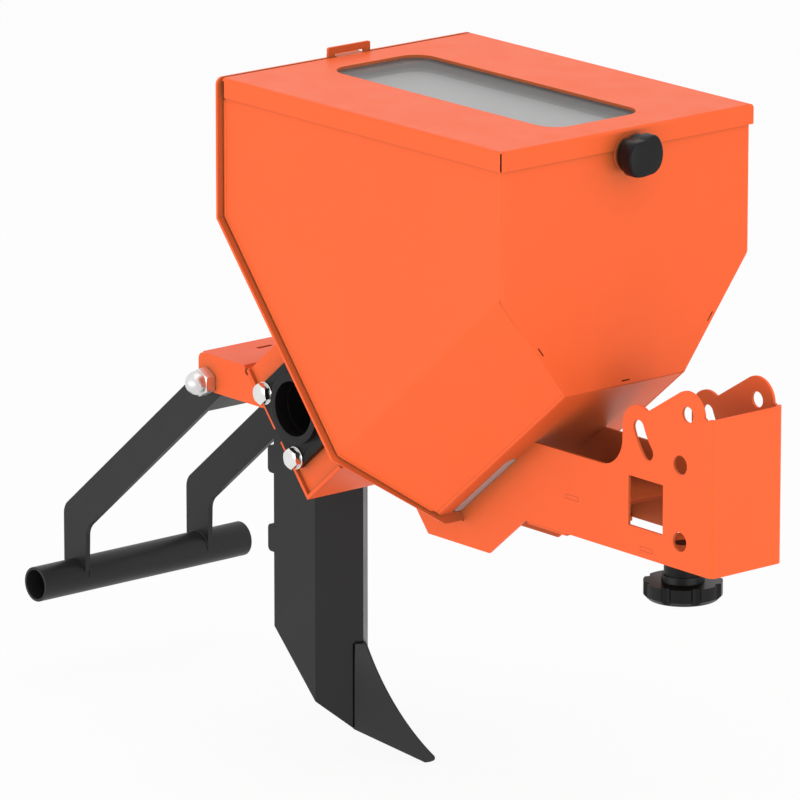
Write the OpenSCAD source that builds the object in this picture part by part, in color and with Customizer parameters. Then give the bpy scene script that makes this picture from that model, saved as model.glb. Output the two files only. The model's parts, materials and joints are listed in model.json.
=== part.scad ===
// Single-row tine seeder: a folded-sheet seed hopper on a hitch frame, with a ripper shank and a drag bar.
// Millimetres. +X is the direction of travel, +Y is the machine's left, +Z is up.
// The origin is the middle of the hitch pin's bore, between the two hitch plates.

/* [Hopper] */
// Length over the front panel and the rear plate
hopper_len = 441; // [430:1:460]
// Width over the side panels
hopper_w = 332; // [320:1:344]
// Front panel's outer face, behind the hitch pin
front_setback = 146.5; // [140:0.5:150]
// Height of the lid's top above the hitch pin
top_z = 258; // [240:0.5:280]
// Height of the rear plate's bend above the hitch pin
bend_z = 109.7; // [104:0.1:116]
// Lean of the lower rear wall from the vertical, in degrees
lean = 40; // [39:0.5:41]
// Distance down the slanted wall from its bend to the side panels' fold
fold_c = 285; // [280:1:290]
// Distance down the slanted wall from its bend to the chute floor
floor_c = 372; // [368:1:376]
// Width of the chute floor
floor_w = 158; // [152:1:168]
// Thickness of the hopper's sheet
sheet = 3; // [2:0.5:3.5]
// Outer radius of the side panels' bends at the rear plate and at the fold
bend_r = 8; // [6:0.5:9]
// Outer radius of the front panel's corners
edge_r = 5; // [4:0.5:8]
// Overhang of the rear plate beyond the side panels
rear_lip = 6; // [3:0.5:8]
// Width of the inward rim round the hopper's mouth
rim_w = 14; // [10:1:18]
// Length of the seed level slots in the chute floor
level_len = 116; // [90:1:120]
// Width of the seed level slots
level_w = 16.5; // [12:0.5:18]
// Place of the seed level slots from the middle
level_y = 54; // [52:0.5:58]

/* [Lid] */
// Depth of the lid's flange
lid_depth = 20.5; // [16:0.5:24]
// Overhang of the lid beyond the hopper's sides and front
lid_over = 2.5; // [0:0.5:4]
// Outer radius of the lid's bends
lid_r = 4; // [3.5:0.5:6]
// Gap between the lid's flange and the rim
lid_gap = 0.6; // [0.4:0.1:1]
// Width of the window opening
window_w = 124; // [100:1:150]
// Corner radius of the window opening
window_r = 25; // [15:1:35]
// Window opening's front edge behind the front panel
window_setback = 42; // [36:1:60]
// Window opening's rear edge ahead of the rear plate
window_rear = 45; // [36:1:60]
// Thickness of the window pane
pane_t = 4; // [3:0.5:5]
// Overlap of the pane behind the window's edge
pane_lap = 12; // [8:1:16]
// Width of the hinge tab on the rear plate
tab_w = 56; // [50:1:70]
// Height of the hinge tab above the lid
tab_h = 10; // [8:0.5:14]
// Place of the hinge tab to the left of the middle
tab_y = 3.4; // [0:0.2:6]
// Width of the lid's hinge tongue
tongue_w = 37; // [30:1:44]
// Length of the tongue behind the rear plate
tongue_len = 12; // [8:1:16]
// Diameter of the clamp knob's stud
stud_d = 10; // [8:1:12]
// Height of the stud below the lid's top
stud_drop = 25; // [24:0.5:28]
// Diameter of the clamp knob
wing_d = 46; // [40:1:52]
// Depth of the clamp knob's grip
wing_t = 16; // [10:1:18]
// Diameter of the clamp knob's hub
hub_d = 34; // [28:1:38]
// Length of the clamp knob's hub
hub_t = 10; // [8:1:16]

/* [Hitch frame] */
// Outer width of the folded frame
frame_w = 95.6; // [90:0.2:98]
// Thickness of the frame's plate
plate = 3; // [2.5:0.5:6]
// Frame's end face ahead of the pin
frame_nose = 37; // [33:0.2:39]
// Outer radius of the frame's bends at its nose
nose_r = 7.5; // [6:0.5:9]
// Frame's lower edge below the pin
frame_drop = 161; // [156:1:166]
// Diameter of the hitch pin's bore
pin_d = 16.5; // [14:0.5:19]
// Radius of the ears
ear_r = 24; // [22:0.5:26]
// Radius of the tilt slot about the pin
slot_r = 78; // [76:1:82]
// First angle of the tilt slot
slot_a0 = 201; // [200:1:203]
// Last angle of the tilt slot
slot_a1 = 221; // [218:1:223]
// Width of the tilt slot
slot_w = 16; // [10:0.5:17]
// Diameter of the two cross holes
cross_d = 20; // [16:0.5:22]
// Place of the cross holes behind the pin
cross_x = 10.6; // [8:0.2:12]
// Depth of the upper cross hole below the pin
cross_z1 = 53.7; // [50:0.2:56]
// Depth of the lower cross hole below the pin
cross_z2 = 132.7; // [128:0.2:136]
// Length of the frame's side window
win_len = 51.4; // [44:0.2:54]
// Height of the frame's side window
win_h = 51.6; // [44:0.2:54]
// Side window's rear edge behind the pin
win_x = 87.4; // [82:0.2:90]
// Side window's lower edge below the pin
win_z = 131.2; // [126:0.2:134]
// Depth of the beam's upper edge below the pin
beam_z = 76; // [72:1:80]
// Depth of the tail's lower edge below the pin
tail_z = 207.7; // [200:0.1:210]
// Reach of the tail behind the hopper's slanted wall
tail_n = 58; // [50:1:64]
// Diameter of the levelling handwheel
star_d = 80; // [70:1:90]
// Height of the handwheel
star_t = 18; // [15:0.5:20]
// Lobes on the handwheel
star_lobes = 8; // [6:1:10]
// Diameter of the handwheel's boss
boss_d = 39; // [34:1:44]
// Length of the handwheel's boss
boss_len = 35; // [25:1:45]
// Spindle's axis behind the pin
spindle_x = 58; // [54:1:62]
// Thread diameter of the spindle
spindle_d = 20; // [16:1:24]

/* [Rear bracket] */
// Reach of the bracket behind the slanted wall
bracket_n = 158.5; // [150:0.5:166]
// Distance down the slope to the bracket's upper end
bracket_c0 = 108.8; // [104:0.2:112]
// Distance down the slope to the bracket's lower end
bracket_c1 = 264; // [260:1:266]
// Width over the bracket's base plate
bracket_w = 184; // [180:1:190]
// Inset of the webs from the base plate's edges
web_inset = 4; // [3:0.5:6]
// Side of the square bearing housings
housing_a = 98; // [96:1:104]
// Bore of the bearing housings
housing_bore = 58; // [50:1:62]
// Height of the housings' round bosses
boss_h = 8; // [6:1:12]
// Inset of the bolts from the housings' edges
bolt_inset = 10.25; // [9:0.25:12]
// Width across the flats of the housing bolts
bolt_af = 20; // [16:1:22]
// Thread diameter of the housing bolts
bolt_d = 12; // [8:1:14]
// Thickness of the housings' flanges
flange_t = 9; // [8:1:12]
// Rear end of the tail box behind the rear plate
box_back = 131.1; // [126:0.1:136]
// Height of the tail box's top below the pin
box_z = 70.5; // [66:0.5:72]
// Height of the tail box's sides
box_h = 40; // [36:1:46]

/* [Drag bar] */
// Pivot's place behind the rear plate
pivot_back = 115.5; // [110:0.5:120]
// Pivot's depth below the hitch pin
pivot_z = 99.6; // [96:0.2:101]
// Pivot bolt's diameter
pivot_d = 18; // [14:1:20]
// Width of the arms
arm_w = 38.6; // [34:0.2:41]
// Width of the arms' upright ends
arm_end_w = 38.5; // [36:0.5:42]
// Height of the arms' upright ends, from the tube's axis to the knee
arm_end_h = 67.4; // [55:0.2:75]
// Thickness of the arms
arm_t = 6; // [5:0.5:8]
// Horizontal distance from the pivot to the tube
tube_dx = 236.3; // [220:0.1:244]
// Depth of the tube's axis below the pivot
tube_dz = 265.7; // [255:0.1:275]
// Outer diameter of the tube
tube_d = 38; // [34:0.5:40]
// Wall of the tube
tube_wall = 3; // [2:0.5:4]
// Length of the tube
tube_len = 284; // [260:1:300]

/* [Shank] */
// Rear edge of the shank behind the rear plate
shank_back = 75.5; // [72:0.5:82]
// Length of the shank's flat sides
shank_side = 68; // [64:1:72]
// Outer half width of the shank
shank_half = 36; // [32:1:38]
// Depth of the shank's rear corner below the hitch pin
shank_z = 369; // [350:1:390]
// Slope of the shank's lower edge from the horizontal, in degrees
shank_cut = 45; // [43:1:47]
// Thickness of the shank's plate
shank_t = 6; // [5:0.5:7]
// Run of the shank's slanted sides, out to the nose
nose_run = 36; // [33:0.5:42]
// Thickness of the share at its rear edge
share_t = 17; // [14:0.5:19]
// Thickness of the share's front edge
share_edge = 2; // [1:0.5:6]
// Share's reach ahead of the nose
share_reach = 117.2; // [105:0.2:125]
// Depth of the share's tip below its upper corner
share_drop = 101.4; // [90:0.2:106]
// Depth of the share's rear edge
share_back = 95.6; // [80:0.2:100]
// Radius of the share's hollow front
share_r = 286; // [180:2:400]

/* [Hidden] */

$fn = 48;
eps = 0.01;              // overshoot of cutting tools
slip = 0.05;             // how much less than a flush fit a round end has

// Colours
orange = [1.0, 0.42, 0.26];
black = [0.22, 0.22, 0.22];
zinc = [0.85, 0.85, 0.85];
clear = [0.75, 0.78, 0.8, 0.5];

// Where the hopper's faces lie
x_front = -front_setback;
x_rear = x_front - hopper_len;
half = hopper_w / 2;
box_x = box_back - x_rear;             // how far the tail box, the pivot and the shank lie behind the pin
pivot_x = pivot_back - x_rear;
shank_x = shank_back - x_rear;
lid_z = top_z - lid_depth;             // lower edge of the lid's flange
rim_z = lid_z - lid_gap;               // top of the hopper's rim

// A point at c down the slanted wall and n ahead of its rear face, in the X-Z plane
function cn(c, n) = [
  x_rear + c * sin(lean) + n * cos(lean),
  bend_z - c * cos(lean) + n * sin(lean)
];
// How far ahead of the slanted wall a plane across X at x is met at depth c
function n_at_x(c, x) = (x - x_rear - c * sin(lean)) / cos(lean);
// How far down the slope a height z is met at n
function c_at_z(n, z) = (bend_z - z + n * sin(lean)) / cos(lean);

floor_n = n_at_x(floor_c, x_front);    // length of the chute floor
fold_n = n_at_x(fold_c, x_front);      // length of the side fold
fold_drop = floor_c - fold_c;
fold_in = half - floor_w / 2;
fold_a = atan2(fold_in, fold_drop);    // how far the lower side panel is folded in

// Extrudes an X-Z outline between two Y values
module xz(y0, y1) {
  translate([0, y1, 0]) rotate([90, 0, 0]) linear_extrude(y1 - y0) children();
}
// Puts children into the slanted frame: their X runs along n and their Z up the slope
module slope(c = 0, n = 0) {
  p = cn(c, n);
  translate([p[0], 0, p[1]]) rotate([0, -lean, 0]) children();
}
// A polygon's points, from [x, y, corner radius] for each corner
function fillet(a, b, c, r, n = 8) = r == 0 ? [b] : let(
  u = (a - b) / norm(a - b), v = (c - b) / norm(c - b), bisector = (u + v) / norm(u + v),
  half_a = acos(u * v) / 2, o = b + bisector * r / sin(half_a),
  s = b + u * r / tan(half_a) - o, e = b + v * r / tan(half_a) - o,
  a0 = atan2(s[1], s[0]), turn = (atan2(e[1], e[0]) - a0 + 540) % 360 - 180
) [for (i = [0:n]) o + r * [cos(a0 + turn * i / n), sin(a0 + turn * i / n)]];
function xy(p) = [p[0], p[1]];
function rounded(p) = let(n = len(p)) [
  for (i = [0:n - 1]) for (q = fillet(xy(p[(i + n - 1) % n]), xy(p[i]), xy(p[(i + 1) % n]), p[i][2])) q
];
module both_sides() {
  children();
  mirror([0, 1, 0]) children();
}
// A rectangle with round corners, centred
module round_rect(a, b, r) {
  square([a - 2 * r, b], center = true);
  square([a, b - 2 * r], center = true);
  for (i = [-1, 1], j = [-1, 1]) translate([i * (a / 2 - r), j * (b / 2 - r)]) circle(r);
}
// A slot with round ends, along X from 0 to its length
module obround(len, w) {
  translate([w / 2, -w / 2]) square([len - w, w]);
  translate([w / 2, 0]) circle(w / 2);
  translate([len - w / 2, 0]) circle(w / 2);
}
// A hexagonal prism along +Z
module hex(af, h) {
  cylinder(h = h, d = af / cos(30), $fn = 6);
}

// ---- Hopper ----

// A point on the rear wall's bend, n ahead of its rear face
function bend_at(n) = [x_rear + n, bend_z + n * tan(lean / 2)];
bend_in = bend_at(sheet);              // rear plate's bend on its inner face
big = 3 * hopper_len;
tab_slot = 11;                         // length of the small slots in the front panel
flange_w = 11;                         // width of the side panels' flanges along the rear plate
taper_z = cn(fold_c, fold_n)[1];       // where the front panel starts to narrow
taper_a = atan2(fold_in, taper_z - cn(floor_c, floor_n)[1]);
// A quadrant with its corner rounded, a hair oversize so that it trims nothing but the corner
module soft_corner(r) {
  polygon(rounded([[-slip, big, 0], [-slip, -slip, r], [big, -slip, 0], [big, big, 0]]));
}
// The space inside the hopper's outer form on its right side, with every bend rounded
module soft_right() {
  lift = sin(fold_a) * sin(lean);      // the folded panel's slant against the front panel
  level = sqrt(1 - lift * lift);
  intersection() {
    translate([x_rear + sheet, -half, -big]) linear_extrude(2 * big) soft_corner(bend_r);
    translate([x_front, -half, -big]) mirror([1, 0, 0]) linear_extrude(2 * big) soft_corner(edge_r);
    slope() translate([sheet, -half, -big]) linear_extrude(2 * big) soft_corner(bend_r);
    slope(fold_c) translate([sheet, -half, 0]) rotate([fold_a, 0, 0]) translate([0, 0, -big])
      linear_extrude(2 * big) soft_corner(bend_r);
    translate([x_front, -half, taper_z]) rotate([taper_a, 0, 0]) translate([0, 0, -big])
      linear_extrude(2 * big) polygon(rounded([
        [slip, big, 0], [slip, -slip, edge_r], [-level * big, -lift * big - slip, 0], [-big, big, 0]
      ]));
    slope(0, -big / 2) rotate([90, 0, 90]) linear_extrude(2 * big) polygon(rounded([
      [-half - slip, big, 0], [-half - slip, -fold_c, bend_r], [-floor_w / 2 - slip, -floor_c - slip, bend_r],
      [big, -floor_c - slip, 0], [big, big, 0]
    ]));
  }
}
// Silhouette of a side panel's rear end, to a depth ahead of the rear plate
module rear_zone(depth) {
  n = sheet + depth;
  polygon([
    [x_rear + sheet, rim_z], bend_in, cn(floor_c - sheet, sheet), cn(floor_c - sheet, n), bend_at(n),
    [x_rear + n, rim_z]
  ]);
}
// Silhouette of a side panel, inside the front and rear plates
module side_outline() {
  polygon([
    [x_rear + sheet, rim_z], bend_in, cn(floor_c - sheet, sheet),
    cn(floor_c - sheet, n_at_x(floor_c - sheet, x_front - sheet)), [x_front - sheet, rim_z]
  ]);
}
// Right side panel's bent section across the slope, w deep: upright, then folded in to the chute floor
module side_section(w) {
  inner_c = fold_c - w * tan(fold_a / 2);
  polygon([
    [-half, hopper_len], [-half, -fold_c], [-half + fold_in, -floor_c],
    [-half + w + (floor_c - inner_c) * tan(fold_a), -floor_c],
    [-half + w, -inner_c], [-half + w, hopper_len]
  ]);
}
module side_piece(w) {
  intersection() {
    xz(-half - 1, 0) children();
    slope(0, -1) rotate([90, 0, 90]) linear_extrude(2 * hopper_len) side_section(w);
  }
}
module hopper_side_right() {
  color(orange) intersection() {
    union() {
      side_piece(sheet) side_outline();
      // flange turned in along the rear plate, and its bend
      side_piece(flange_w) rear_zone(sheet);
      side_piece(2 * sheet) rear_zone(2 * sheet);
      // rim folded in round the mouth
      translate([x_rear + sheet, -half + 1, rim_z - sheet]) cube([hopper_len - 2 * sheet, rim_w - 1, sheet]);
    }
    soft_right();
  }
}
module hopper_side_left() {
  mirror([0, 1, 0]) hopper_side_right();
}
// Front panel: straight down to the fold, then narrowing to the chute floor's width
module front_outline() {
  z2 = cn(floor_c, floor_n)[1];
  polygon([
    [-half, rim_z], [half, rim_z], [half, taper_z],
    [floor_w / 2, z2], [-floor_w / 2, z2], [-half, taper_z]
  ]);
}
module hopper_front() {
  color(orange) {
    intersection() {
      union() {
        translate([x_front - sheet, 0, 0]) rotate([90, 0, 90]) linear_extrude(sheet) difference() {
          front_outline();
          // slots that take the tabs of the folded panels and the chute floor
          translate([-tab_slot / 2, cn(floor_c, floor_n)[1] + sheet]) square([tab_slot, 1.5]);
          for (i = [0, 1]) mirror([i, 0]) translate([half, taper_z]) rotate(-taper_a)
            translate([-sheet - 2, -76 - tab_slot]) square([1.5, tab_slot]);
        }
        difference() {
          slope(floor_c, 0) translate([sheet, -floor_w / 2 + 0.5, 0])
            cube([floor_n - sheet, floor_w - 1, sheet]);
          both_sides() slope(floor_c, 0) translate([sheet + 2, level_y, -1]) linear_extrude(sheet + 2)
            obround(level_len, level_w);
          translate([x_front - sheet, -half, -hopper_w]) cube([hopper_len, hopper_w, hopper_len]);
        }
      }
      soft_right();
      mirror([0, 1, 0]) soft_right();
    }
    // rim folded in at the front
    translate([x_front - sheet - rim_w, -half + rim_w, rim_z - sheet])
      cube([rim_w + 1, hopper_w - 2 * rim_w, sheet]);
  }
}
tongue_z = top_z - sheet;              // underside of the lid's plate and its tongue
hinge_x = x_rear + sheet / 2;
hinge_z = top_z + 0.5;
hinge_gap = 3.5;                       // the lid's plate stops this far ahead of the rear plate
slot_down = 11;                        // how far the hinge slot reaches below the hinge axis
slot_up = 2.1;

rear_c = floor_c + 10;                 // the rear plate ends above this
module rear_outline() {
  w = half + rear_lip;
  tip = floor_w / 2 - 6;
  z_tip = cn(rear_c, sheet)[1] + 0.3;
  tab = tab_w / 2;
  difference() {
    polygon(rounded([
      [-tip, z_tip, 8], [tip, z_tip, 8], [w, cn(fold_c, 0)[1], 0], [w, top_z, 8],
      [tab_y + tab, top_z, 0], [tab_y + tab, top_z + tab_h, 2], [tab_y - tab, top_z + tab_h, 2],
      [tab_y - tab, top_z, 0], [-w, top_z, 8], [-w, cn(fold_c, 0)[1], 0]
    ]));
    translate([tab_y - tongue_w / 2 - 1, hinge_z - slot_down]) square([tongue_w + 2, slot_down + slot_up]);
  }
}
module hopper_rear() {
  color(orange) {
    intersection() {
      xz(-hopper_w, hopper_w) polygon([
        [x_rear, top_z + tab_h + 1], [x_rear, bend_z], cn(rear_c + 4, 0), cn(rear_c + 4, sheet), bend_in,
        [x_rear + sheet, top_z + tab_h + 1]
      ]);
      translate([x_rear - 1, 0, 0]) rotate([90, 0, 90]) linear_extrude(hopper_len) rear_outline();
    }
    // rim folded in at the rear
    translate([x_rear + sheet - 1, -half + rim_w, rim_z - sheet])
      cube([rim_w + 1, hopper_w - 2 * rim_w, sheet]);
  }
}
// Clear strip behind each seed level slot, on the chute floor's inner face
module level_window_left() {
  color(clear) slope(floor_c, 0) {
    translate([sheet + 1, level_y - level_w / 2 - 3, sheet]) cube([level_len + 5, level_w + 6, 2]);
    translate([sheet + 2.3, level_y, 1]) linear_extrude(sheet) obround(level_len - 0.6, level_w - 0.6);
  }
}
module level_window_right() {
  mirror([0, 1, 0]) level_window_left();
}
// Stud for the clamp knob, which stands on the front panel and passes the notch in the lid's flange
stud_z = top_z - stud_drop;
knob_gap = 1.5;                        // running gap between the lid's flange and the knob's hub
module knob_stud() {
  color(zinc) translate([x_front, 0, stud_z]) rotate([0, 90, 0])
    cylinder(h = lid_over + knob_gap, d = stud_d);
}
// Hub and two-lobed grip, scooped above and below
module clamp_knob() {
  scoop_d = 60;
  color(black) translate([x_front + lid_over + knob_gap, 0, stud_z]) rotate([0, 90, 0]) difference() {
    union() {
      cylinder(h = hub_t + eps, d = hub_d);
      translate([0, 0, hub_t]) cylinder(h = wing_t, d = wing_d);
    }
    for (s = [-1, 1]) translate([s * (wing_d / 2 + scoop_d / 2 - 5), 0, hub_t + 1])
      cylinder(h = wing_t, d = scoop_d);
  }
}

// ---- Lid ----

window_len = hopper_len - window_setback - window_rear;
lid_x0 = x_rear + sheet + hinge_gap;
// The lid's form, inset from its outer faces: bent down at the sides and the front
module lid_form(inset, r) {
  h = half + lid_over - inset;
  x0 = lid_x0 - inset;
  x1 = x_front + lid_over - inset;
  z0 = lid_z - inset;
  z1 = top_z - inset;
  intersection() {
    translate([x0, 0, 0]) rotate([90, 0, 90]) linear_extrude(x1 - x0)
      polygon(rounded([[-h, z0, 0], [h, z0, 0], [h, z1, r], [-h, z1, r]]));
    xz(-h - 1, h + 1) polygon(rounded([
      [x0 - 1, z0 - 1, 0], [x1 + slip, z0 - 1, 0], [x1 + slip, z1 + slip, r], [x0 - 1, z1 + slip, 0]
    ]));
  }
}
module lid() {
  corner = [x_front + lid_over, half + lid_over];
  color(orange) difference() {
    union() {
      difference() {
        lid_form(0, lid_r);
        lid_form(sheet, lid_r - sheet);
        // the flanges stop short of the rear plate, and are open at the front corners
        both_sides() translate([lid_x0 - 1, half + lid_over - sheet - 1, lid_z - 1])
          cube([sheet + 1, sheet + 2, lid_depth - sheet + 1]);
        both_sides() translate([corner[0], corner[1], lid_z - 1]) rotate(45)
          translate([-9, -0.8, 0]) cube([18, 1.6, lid_depth - 0.5]);
      }
      translate([x_rear - tongue_len, tab_y - tongue_w / 2, tongue_z])
        cube([lid_x0 + 2 - x_rear + tongue_len, tongue_w, sheet]);
    }
    translate([x_front - window_setback - window_len / 2, 0, lid_z])
      linear_extrude(lid_depth + 1) round_rect(window_len, window_w, window_r);
    // notch that drops over the clamp knob's stud
    translate([x_front - 1, -stud_d / 2 - 2, lid_z - 1]) cube([lid_over + 2, stud_d + 4, 8]);
    translate([x_front - sheet - 1, -stud_d / 2 - 2, lid_z - 1]) cube([sheet + 2, stud_d + 4, 8]);
  }
}
module lid_window() {
  color(clear)
    translate([x_front - window_setback - window_len / 2, 0, top_z - sheet - pane_t])
    linear_extrude(pane_t) round_rect(window_len + 2 * pane_lap, window_w + 2 * pane_lap, window_r);
}

// ---- Hitch frame ----

ear_x = slot_r * cos((slot_a0 + slot_a1) / 2) - 6.2;
ear_z = slot_r * sin(slot_a0) - 1.1;
neck_x = ear_x - ear_r;                // front side of the gap between the beam and the ear
neck_r = 32;
frame_top = 1;                         // top of the nose above the pin
rise_a = 31.7;                         // slope of the edge between the ears
rise_len = 57.6;

module arc_slot() {
  for (a = [slot_a0, slot_a1]) rotate(a) translate([slot_r, 0]) circle(slot_w / 2 - slip);
  difference() {
    circle(slot_r + slot_w / 2);
    circle(slot_r - slot_w / 2);
    rotate(slot_a0) translate([-2 * slot_r, 0]) mirror([0, 1]) square(4 * slot_r);
    rotate(slot_a1) translate([-2 * slot_r, 0]) square(4 * slot_r);
  }
}
module frame_outline() {
  toe = cn(c_at_z(-tail_n, -tail_z), -tail_n);
  rise_x = -245;
  rise = (ear_r - slip) * [-sin(rise_a), cos(rise_a)];
  dx = (tail_z - frame_drop) / tan(lean);
  relief = cn(floor_c, (-beam_z - bend_z + floor_c * cos(lean)) / sin(lean));
  difference() {
    union() {
      polygon([
        [frame_nose, frame_top], [0, frame_top], rise, rise - rise_len * [cos(rise_a), sin(rise_a)],
        [ear_x, ear_z], [neck_x, ear_z], [neck_x, -beam_z],
        relief, cn(floor_c, sheet), cn(rear_c, sheet), cn(rear_c, 0),
        cn(bracket_c1, 0), cn(bracket_c1, -tail_n), toe,
        [rise_x - dx, -tail_z], [rise_x, -frame_drop], [frame_nose, -frame_drop]
      ]);
      circle(ear_r);
      translate([ear_x, ear_z]) circle(ear_r - slip);
      difference() {
        translate([neck_x - neck_r, -beam_z - 1]) square([neck_r + 1, neck_r + 1]);
        translate([neck_x - neck_r, -beam_z + neck_r]) circle(neck_r + slip);
      }
    }
    circle(pin_d / 2);
    arc_slot();
    translate([frame_nose - nose_r - 1, frame_top + 0.5]) circle(2.5);
    for (z = [cross_z1, cross_z2]) translate([-cross_x, -z]) circle(cross_d / 2);
    translate([-win_x, -win_z]) square([win_len, win_h]);
  }
}
// The frame's bent plate seen from above, out to one of its faces
module frame_plan(inset) {
  h = frame_w / 2 - inset;
  x = frame_nose - inset;
  r = nose_r - inset;
  polygon(rounded([[-big - inset, -h, 0], [x, -h, r], [x, h, r], [-big - inset, h, 0]]));
}
module hitch_frame() {
  color(orange) intersection() {
    xz(-frame_w, frame_w) frame_outline();
    translate([0, 0, -tail_z - 50]) linear_extrude(tail_z + 100) difference() {
      frame_plan(0);
      frame_plan(plate);
    }
  }
}
inner_w = frame_w - 2 * plate;
cross_t = 4;
module cross_plate_front() {
  color(orange) difference() {
    translate([-spindle_x - 30, -inner_w / 2, plate_z]) cube([60, inner_w, cross_t]);
    translate([-spindle_x, 0, plate_z - 1]) cylinder(h = cross_t + 2, d = spindle_d);
  }
}
module cross_plate_middle() {
  color(orange) translate([-236, -inner_w / 2, -122]) cube([120, inner_w, cross_t]);
}
module cross_plate_rear() {
  color(orange) translate([-245, -inner_w / 2, -frame_drop - 4]) cube([60, inner_w, cross_t + 2]);
}
plate_z = -frame_drop + 5;             // underside of the front cross plate
// Spindle in the front cross plate, with the handwheel's boss and collar below
module spindle() {
  color(black) translate([-spindle_x, 0, plate_z]) {
    translate([0, 0, -boss_len]) cylinder(h = boss_len, d = boss_d);
    translate([0, 0, -boss_len]) cylinder(h = 7, d1 = boss_d + 5, d2 = boss_d + 3);
    translate([0, 0, -eps]) cylinder(h = cross_t + eps, d = spindle_d);
  }
}
module handwheel() {
  notch_d = 12;
  foot = star_t / 4;                   // height of the chamfer round its lower edge
  color(black) translate([-spindle_x, 0, plate_z - boss_len - star_t]) difference() {
    rotate_extrude() polygon([
      [0, 0], [star_d / 2 - foot, 0], [star_d / 2, foot], [star_d / 2, star_t], [0, star_t]
    ]);
    for (i = [0:star_lobes - 1]) rotate((i + 0.5) * 360 / star_lobes)
      translate([star_d / 2 + 2, 0, -1]) cylinder(h = star_t + 2, d = notch_d);
  }
}

// ---- Rear bracket ----

bracket_len = bracket_c1 - bracket_c0;
web_y = bracket_w / 2 - web_inset;     // outer face of the webs
bplate = 4;
bearing_c = (bracket_c0 + bracket_c1) / 2 - 2.5;
flange_n = bracket_n * 0.555;          // the lower flange is full width down to here
edge_c0 = bracket_c0 + bracket_len * 0.46;   // notches in the base plate's sides
edge_c1 = edge_c0 + 15;
tube_od = 72;                          // outer diameter of the metering tube
bearing_n = -bracket_n + bplate + housing_a / 2 + 4.5;
bolt_pitch = housing_a - 2 * bolt_inset;

// Base plate across the slope, with notches in its sides, and a flange along its lower end
module bracket() {
  color(orange) {
    difference() {
      slope(bracket_c1, -bracket_n) translate([0, -bracket_w / 2, 0]) cube([bplate, bracket_w, bracket_len]);
      both_sides() slope(edge_c1, -bracket_n) translate([-1, web_y, 0])
        cube([bplate + 2, web_inset + 1, edge_c1 - edge_c0]);
    }
    slope(bracket_c1, -bracket_n) translate([0, -bracket_w / 2, 0])
      cube([bracket_n - flange_n, bracket_w, bplate]);
    slope(bracket_c1, -bracket_n) translate([0, -web_y, 0]) cube([bracket_n, 2 * web_y, bplate]);
  }
}
module bracket_web_right() {
  color(orange) difference() {
    slope(bracket_c1, -bracket_n) translate([bplate, -web_y, bplate])
      cube([bracket_n - bplate, bplate, bracket_len - bplate]);
    slope(bearing_c, bearing_n) translate([0, -web_y - 1, 0]) rotate([-90, 0, 0]) {
      cylinder(h = bplate + 2, d = tube_od);
      bolt_places() cylinder(h = bplate + 2, d = bolt_d + 1);
    }
  }
}
module bracket_web_left() {
  mirror([0, 1, 0]) bracket_web_right();
}
module tail_box() {
  w = bracket_w / 2;
  // where the base plate's rear face meets the box's top and bottom heights
  x_top = cn(c_at_z(-bracket_n, -box_z), -bracket_n)[0];
  x_bot = cn(c_at_z(-bracket_n, -box_z - box_h), -bracket_n)[0];
  color(orange) {
    for (s = [0, 1]) xz(s ? w - bplate : -w, s ? w : -w + bplate) difference() {
      polygon(rounded([
        [-box_x, -box_z, 8], [x_top, -box_z, 0], [x_bot, -box_z - box_h, 0], [-box_x, -box_z - box_h, 3]
      ]));
      translate([-pivot_x, -pivot_z]) circle(pivot_d / 2);
      // relief where the side meets the base plate
      translate([x_top + 6, -box_z - 6]) circle(4);
    }
    difference() {
      xz(-w + bplate, w - bplate) polygon([
        [-box_x + 3, -box_z], [x_top, -box_z],
        [x_top + bplate * tan(lean), -box_z - bplate], [-box_x + 3, -box_z - bplate]
      ]);
      both_sides() translate([-box_x + 30, -27, -box_z]) cube([5, 20, 30], center = true);
    }
  }
}
module bolt_places() {
  for (i = [-1, 1], j = [-1, 1]) translate([i * bolt_pitch / 2, j * bolt_pitch / 2, 0]) children();
}
module bearing_right() {
  color(black) slope(bearing_c, bearing_n) translate([0, -web_y, 0]) rotate([90, 0, 0]) difference() {
    union() {
      linear_extrude(flange_t) round_rect(housing_a, housing_a, 6);
      cylinder(h = flange_t + boss_h, d = tube_od + 2);
    }
    translate([0, 0, -1]) cylinder(h = flange_t + boss_h + 2, d = housing_bore);
    translate([0, 0, -1]) bolt_places() cylinder(h = flange_t + 2, d = bolt_d + 1);
  }
}
module bearing_left() {
  mirror([0, 1, 0]) bearing_right();
}
module bearing_bolts_right() {
  color(zinc) slope(bearing_c, bearing_n) translate([0, -web_y, 0]) rotate([90, 0, 0])
    bolt_places() {
      translate([0, 0, flange_t]) rotate(30) hex(bolt_af, 7);
      translate([0, 0, -bplate - 14]) cylinder(h = bplate + 14 + flange_t, d = bolt_d);
      translate([0, 0, -bplate - 10]) rotate(30) hex(bolt_af, 10);
    }
}
module bearing_bolts_left() {
  mirror([0, 1, 0]) bearing_bolts_right();
}
module metering_tube() {
  color(black) slope(bearing_c, bearing_n) translate([0, web_y, 0]) rotate([90, 0, 0]) difference() {
    cylinder(h = 2 * web_y, d = tube_od);
    translate([0, 0, -1]) cylinder(h = 2 * web_y + 2, d = housing_bore);
  }
}

// ---- Drag bar ----

arm_y = bracket_w / 2 - bplate - 0.6;  // outer face of the arms
pin_gap = 0.08;
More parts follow.
